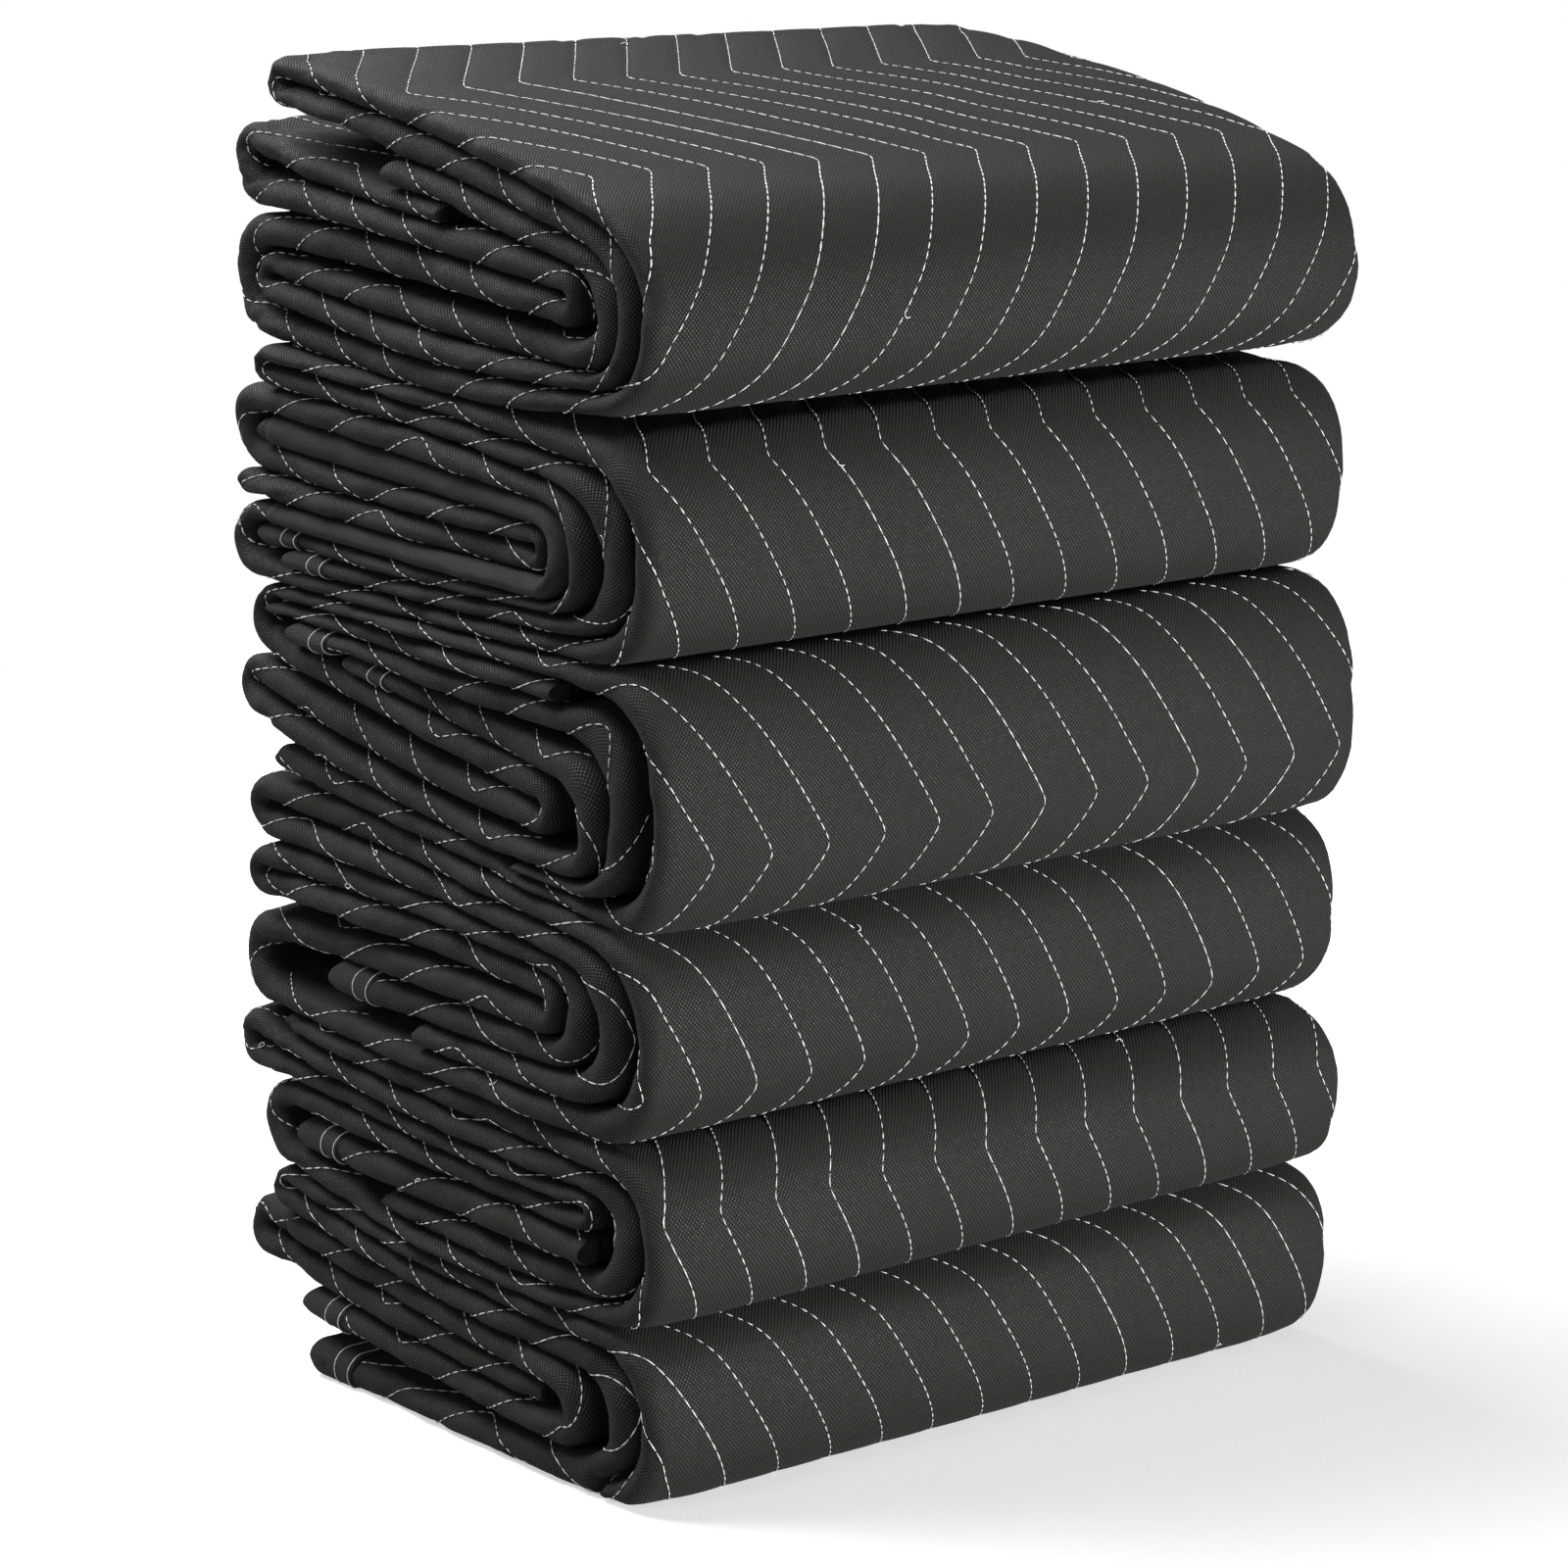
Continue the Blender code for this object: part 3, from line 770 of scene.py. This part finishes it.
class Nodes:
    """Short calls for a material's node tree."""

    def __init__(self, name):
        self.material = bpy.data.materials.new(name)
        self.material.use_nodes = True
        self.tree = self.material.node_tree
        self.shader = self.tree.nodes["Principled BSDF"]

    def link(self, value, socket):
        if hasattr(value, "links"):
            self.tree.links.new(value, socket)
        else:
            socket.default_value = value

    def math(self, kind, a, b=0.0, c=0.0):
        node = self.tree.nodes.new("ShaderNodeMath")
        node.operation = kind
        for value, socket in zip((a, b, c), node.inputs):
            self.link(value, socket)
        return node.outputs[0]

    def noise(self, vector, scale, detail=2.0, rough=0.5):
        node = self.tree.nodes.new("ShaderNodeTexNoise")
        self.link(vector, node.inputs["Vector"])
        node.inputs["Scale"].default_value = scale
        node.inputs["Detail"].default_value = detail
        node.inputs["Roughness"].default_value = rough
        return node.outputs["Fac"]

    def ramp(self, value, stops):
        node = self.tree.nodes.new("ShaderNodeValToRGB")
        self.link(value, node.inputs["Fac"])
        while len(node.color_ramp.elements) < len(stops):
            node.color_ramp.elements.new(0.5)
        for element, (at, colour) in zip(node.color_ramp.elements, stops):
            element.position = at
            element.color = (*colour, 1) if hasattr(colour, "__len__") else (colour, colour, colour, 1)
        return node.outputs["Color"]

    def mix(self, fac, a, b):
        node = self.tree.nodes.new("ShaderNodeMix")
        node.data_type = "RGBA"
        self.link(fac, node.inputs["Factor"])
        self.link(a, node.inputs["A"])
        self.link(b, node.inputs["B"])
        return node.outputs["Result"]

    def bump(self, height, strength, distance):
        node = self.tree.nodes.new("ShaderNodeBump")
        self.link(height, node.inputs["Height"])
        node.inputs["Strength"].default_value = strength
        node.inputs["Distance"].default_value = distance
        return node.outputs["Normal"]

    def object_place(self):
        return self.tree.nodes.new("ShaderNodeTexCoord").outputs["Object"]

    def cloth_place(self):
        node = self.tree.nodes.new("ShaderNodeSeparateXYZ")
        uv = self.tree.nodes.new("ShaderNodeUVMap")
        uv.uv_map = "cloth"
        self.tree.links.new(uv.outputs["UV"], node.inputs[0])
        return node.outputs[0], node.outputs[1]


def cloth_material(name, dark, light, pitch, glint):
    """Woven cloth: dark threads, with rows of paler dots where they cross; the dots' paler colour is
    painted glint over the weave's real bumps.
    """
    m = Nodes(name)
    u, s = m.cloth_place()
    turn = math.pi / pitch
    first = m.math("ABSOLUTE", m.math("SINE", m.math("MULTIPLY", u, turn)))
    second = m.math("ABSOLUTE", m.math("SINE", m.math("MULTIPLY", s, turn)))
    third = m.math("ABSOLUTE", m.math("COSINE", m.math("MULTIPLY", u, turn)))
    fourth = m.math("ABSOLUTE", m.math("COSINE", m.math("MULTIPLY", s, turn)))
    dots = m.math("MAXIMUM", m.math("MULTIPLY", first, second), m.math("MULTIPLY", third, fourth))
    place = m.object_place()
    fuzz = m.noise(place, 1100, 3, 0.65)
    patch = m.noise(place, 240, 2, 0.5)
    wide = m.noise(place, 8, 3, 0.5)
    # The paler dots are painted glint: colour that stands in for the sheen of the crossing threads, mixed
    # into the base colour below.
    painted_glint_dots = m.math("MULTIPLY", m.math("POWER", dots, 4.0), m.math("MULTIPLY_ADD", fuzz, 1.9, -0.2))
    tone = m.math("MULTIPLY_ADD", wide, 0.5, 0.75)
    tone = m.math("MULTIPLY", tone, m.math("MULTIPLY_ADD", patch, 0.8, 0.6))
    fac = m.math("MINIMUM", m.math("MULTIPLY", painted_glint_dots, tone), 1.0)
    m.link(m.mix(fac, (*dark, 1), (*light, 1)), m.shader.inputs["Base Color"])
    m.link(m.math("MULTIPLY_ADD", fac, -0.50, 0.90), m.shader.inputs["Roughness"])
    m.shader.inputs["Specular IOR Level"].default_value = glint
    m.shader.inputs["Sheen Weight"].default_value = 0.02
    m.shader.inputs["Sheen Roughness"].default_value = 0.4
    height = m.math("ADD", m.math("MULTIPLY", dots, 0.8), m.math("MULTIPLY", fuzz, 0.5))
    m.link(m.bump(height, 0.8, 0.0007), m.shader.inputs["Normal"])
    return m.material


def thread_material():
    m = Nodes("thread")
    fuzz = m.noise(m.object_place(), 1500, 2, 0.5)
    m.link(m.ramp(fuzz, [(0.3, 0.72), (0.7, 0.92)]), m.shader.inputs["Base Color"])
    m.shader.inputs["Roughness"].default_value = 0.6
    m.link(m.bump(fuzz, 0.3, 0.0002), m.shader.inputs["Normal"])
    return m.material


def floor_material():
    m = Nodes("floor")
    grain = m.noise(m.object_place(), 60, 2, 0.5)
    rays = m.tree.nodes.new("ShaderNodeLightPath").outputs["Is Camera Ray"]
    pale = m.ramp(grain, [(0.0, 0.86), (1.0, 0.88)])
    m.link(m.mix(rays, (FLOOR_DIM, FLOOR_DIM, FLOOR_DIM, 1), pale), m.shader.inputs["Base Color"])
    m.shader.inputs["Roughness"].default_value = 0.9
    m.shader.inputs["Emission Color"].default_value = (1, 1, 1, 1)
    away = m.tree.nodes.new("ShaderNodeVectorMath")
    away.operation = "LENGTH"
    m.tree.links.new(m.object_place(), away.inputs[0])
    rise = m.tree.nodes.new("ShaderNodeMapRange")
    rise.interpolation_type = "SMOOTHSTEP"
    m.tree.links.new(away.outputs["Value"], rise.inputs["Value"])
    for socket, value in (("From Min", FLOOR_NEAR), ("From Max", FLOOR_FAR),
                          ("To Min", FLOOR_GLOW), ("To Max", FLOOR_GLOW_FAR)):
        rise.inputs[socket].default_value = value
    share = m.math("MULTIPLY_ADD", rays, 1 - FLOOR_GIVES, FLOOR_GIVES)
    m.link(m.math("MULTIPLY", rise.outputs["Result"], share), m.shader.inputs["Emission Strength"])
    return m.material


# Making

strips = [Strip(name, i, run) for name, runs in BLANKETS.items() for i, run in enumerate(runs)]
set_thickness(strips)
sees_out(strips)

# Each material's second colour is its paler dots, painted glint on the dark cloth.
black = cloth_material("quilted_cloth", (0.0006, 0.0006, 0.0005), (0.044, 0.0445, 0.041), 2.3 * MM, 0.42)
charcoal = cloth_material("binding_cloth", (0.0075, 0.0078, 0.0073), (0.036, 0.037, 0.034), 1.2 * MM, 0.5)
white = thread_material()
rng = np.random.default_rng(5341)


def add_tape(name, strip, lines, at_start, cloth_threads):
    """Binding over a free end: a smooth band with two lines of thick thread."""
    sign = 1 if at_start else -1
    end = 0.0 if at_start else strip.total
    tape = Cloth()
    at = columns(TAPE_COLUMNS)
    rows = []
    for d, lift in TAPE_RINGS:
        s = end + sign * d * MM
        first, left, last, right = (surface(strip, lines, s, u, TAPE_RELIEF, lift * MM) for u in (
            np.array([0.0]), at[1:-1], np.array([STRIP_WIDTH]), -at[1:-1]))
        loop = np.concatenate([first, left, last, right[::-1]])
        if d == 0.0:
            tip = surface(strip, lines, end, 0.0, TAPE_RELIEF)
            away = tip - surface(strip, lines, end + sign * 2 * MM, 0.0, TAPE_RELIEF)
            loop = loop + away / np.linalg.norm(away) * TAPE_TIP
        rows.append(tape.add(loop))
    around = np.concatenate([[0.0], at[1:-1], [STRIP_WIDTH],
                             2 * STRIP_WIDTH - at[1:-1][::-1], [2 * STRIP_WIDTH]])
    n = len(rows[0])
    for k, (a, b) in enumerate(zip(rows, rows[1:])):
        for i in range(n):
            j = (i + 1) % n
            f = (a[i], a[j], b[j], b[i])
            uv = [(around[i], k * 4 * MM), (around[i + 1], k * 4 * MM),
                  (around[i + 1], k * 4 * MM + 4 * MM), (around[i], k * 4 * MM + 4 * MM)]
            tape.face(f if at_start else f[::-1], uv if at_start else uv[::-1])
    half = len(at)
    for row, turn in ((rows[0], not at_start), (rows[-1], at_start)):
        for i in range(half - 1):
            up, up2 = row[i], row[i + 1]
            down, down2 = row[(n - i) % n], row[n - i - 1]
            f = [up, up2, down2, down]
            f = [v for m, v in enumerate(f) if v not in f[:m]]
            tape.face(tuple(f if turn else f[::-1]), [(at[i], 0.0)] * len(f))
    made = make_object(name + "_tape", np.concatenate(tape.verts), tape.faces, charcoal, tape.uvs)
    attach(made, "root")
    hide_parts(name)
    across = np.concatenate([
        np.linspace(0.2 * MM, EDGE_CLOTH, 12),
        np.arange(EDGE_CLOTH + 6 * MM, STRIP_WIDTH - EDGE_CLOTH - 3 * MM, TAPE_COLUMNS),
        np.linspace(STRIP_WIDTH - EDGE_CLOTH, STRIP_WIDTH - 0.2 * MM, 12)])
    for line in TAPE_LINES:
        for side in (1, -1):
            u = side * across
            s = np.full(len(u), end + sign * line)
            points = surface(strip, lines, s, u, TAPE_RELIEF, TAPE_THREAD_LIFT)
            cloth_threads.add(points, outward(strip, lines, s, u), [TAPE_THREAD] * len(u))
    return made


def add_side_binding(name, strip, lines, first, last):
    """A smooth band sewn over a layer's folded edge, from first to last along the strip."""
    band = Cloth()
    around = np.linspace(-SIDE_BAND, SIDE_BAND, 17)
    places = np.arange(first, last, SIDE_BAND_STEP)
    rows = []
    for s in places:
        outer = surface(strip, lines, s, around, SIDE_BAND_RELIEF, SIDE_BAND_THICK)
        inner = surface(strip, lines, s, around, SIDE_BAND_RELIEF, SIDE_BAND_INSIDE)
        rows.append(band.add(np.concatenate([outer, inner[::-1]])))
    n = len(rows[0])
    place = np.concatenate([around, around[::-1]])
    for k, (a, b) in enumerate(zip(rows, rows[1:])):
        for i in range(n):
            j = (i + 1) % n
            band.face((a[i], b[i], b[j], a[j]), [(place[i], places[k]), (place[i], places[k + 1]),
                                                 (place[j], places[k + 1]), (place[j], places[k])])
    half = n // 2
    for row, turn in ((rows[0], False), (rows[-1], True)):
        for i in range(half - 1):
            f = (row[i], row[i + 1], row[n - 2 - i], row[n - 1 - i])
            band.face(f[::-1] if turn else f, [(place[i], 0.0)] * 4)
    made = make_object(name, np.concatenate(band.verts), band.faces, charcoal, band.uvs)
    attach(made, "root")
    return made


for name in BLANKETS:
    own = [s for s in strips if s.name == name]
    quilt = QUILTS[name]
    base = Lines(quilt, own[quilt.run])
    cloth, threads = Cloth(), Threads()
    letters = iter("abc")
    offset = 0.0
    for strip in own:
        lines = base
        if strip is not own[quilt.run]:
            lines = Lines(quilt, own[quilt.run])
            lines.kink = base.kink + OTHER_ALONG * (1 + strip.index)
            lines.at = base.at + OTHER_ACROSS * strip.index
        if name == "blanket_2" and strip is own[0]:
            back = np.flatnonzero((strip.p[:, 0] > SIDE_BAND_FROM_Y) & (strip.p[:, 1] < SIDE_BAND_BELOW_Z))
            strip.band_from = strip.along[back[-1]]
        add_strip(cloth, strip, lines, offset)
        run_dashes(threads, strip, lines, rng)
        for bound, at_start in ((strip.run.start_bound, True), (strip.run.end_bound, False)):
            if bound:
                add_tape(f"binding_{name[-1]}{next(letters)}", strip, lines, at_start, threads)
        if strip.band_from < strip.total:
            add_side_binding("blanket_2_side_binding", strip, lines,
                                          strip.band_from, strip.total - 4 * MM)
        offset += strip.total + 0.1
    body = make_object(name + "_cloth", np.concatenate(cloth.verts), cloth.faces, black, cloth.uvs)
    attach(body, "root")
    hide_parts(name)
    stitching = make_object(name + "_stitching", threads.verts, threads.faces, white)
    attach(stitching, "root")

# Floor, light and camera

floor_mesh = bpy.data.meshes.new("floor")
corners = [(-1, -1), (1, -1), (1, 1), (-1, 1)]
floor_mesh.from_pydata([(a * FLOOR_HALF, b * FLOOR_HALF, 0) for a, b in corners], [], [(0, 1, 2, 3)])
floor_mesh.materials.append(floor_material())
floor = bpy.data.objects.new("floor", floor_mesh)
bpy.context.scene.collection.objects.link(floor)

world = bpy.data.worlds.new("studio")
world.use_nodes = True
tree = world.node_tree
seen = tree.nodes["Background"]
seen.inputs["Color"].default_value = (1.0, 1.0, 1.0, 1)
seen.inputs["Strength"].default_value = 1.0
fill = tree.nodes.new("ShaderNodeBackground")
fill.inputs["Color"].default_value = (1.0, 1.0, 1.0, 1)
fill.inputs["Strength"].default_value = FILL
path = tree.nodes.new("ShaderNodeLightPath")
both = tree.nodes.new("ShaderNodeMixShader")
tree.links.new(path.outputs["Is Camera Ray"], both.inputs["Fac"])
tree.links.new(fill.outputs[0], both.inputs[1])
tree.links.new(seen.outputs[0], both.inputs[2])
tree.links.new(both.outputs[0], tree.nodes["World Output"].inputs["Surface"])
bpy.context.scene.world = world
bpy.context.scene.view_settings.view_transform = "Standard"


def area_light(name, place, target, size, power):
    light = bpy.data.lights.new(name, "AREA")
    light.shape = "RECTANGLE"
    light.size, light.size_y = size
    light.energy = power
    made = bpy.data.objects.new(name, light)
    made.location = place
    aim = Vector(target) - Vector(place)
    made.rotation_euler = aim.to_track_quat("-Z", "Y").to_euler()
    made.visible_camera = False
    bpy.context.scene.collection.objects.link(made)


for light in LIGHTS:
    area_light(light.name, light.place, LIGHTS_AIM, light.size, light.power)

CAMERA_TARGET = Vector((-0.055, -0.0562, 0.3545))
CAMERA_AZIMUTH, CAMERA_ELEVATION = math.radians(-39.17), math.radians(11.0)
CAMERA_DISTANCE, CAMERA_LENS, CAMERA_SENSOR = 2.57, 105.0, 36
back = Vector((math.sin(CAMERA_AZIMUTH) * math.cos(CAMERA_ELEVATION),
               -math.cos(CAMERA_AZIMUTH) * math.cos(CAMERA_ELEVATION), math.sin(CAMERA_ELEVATION)))
camera = bpy.data.objects.new("camera", bpy.data.cameras.new("camera"))
camera.data.sensor_width = CAMERA_SENSOR
camera.data.lens = CAMERA_LENS
camera.location = CAMERA_TARGET + back * CAMERA_DISTANCE
camera.rotation_euler = (-back).to_track_quat("-Z", "Y").to_euler()
bpy.context.scene.collection.objects.link(camera)
bpy.context.scene.camera = camera
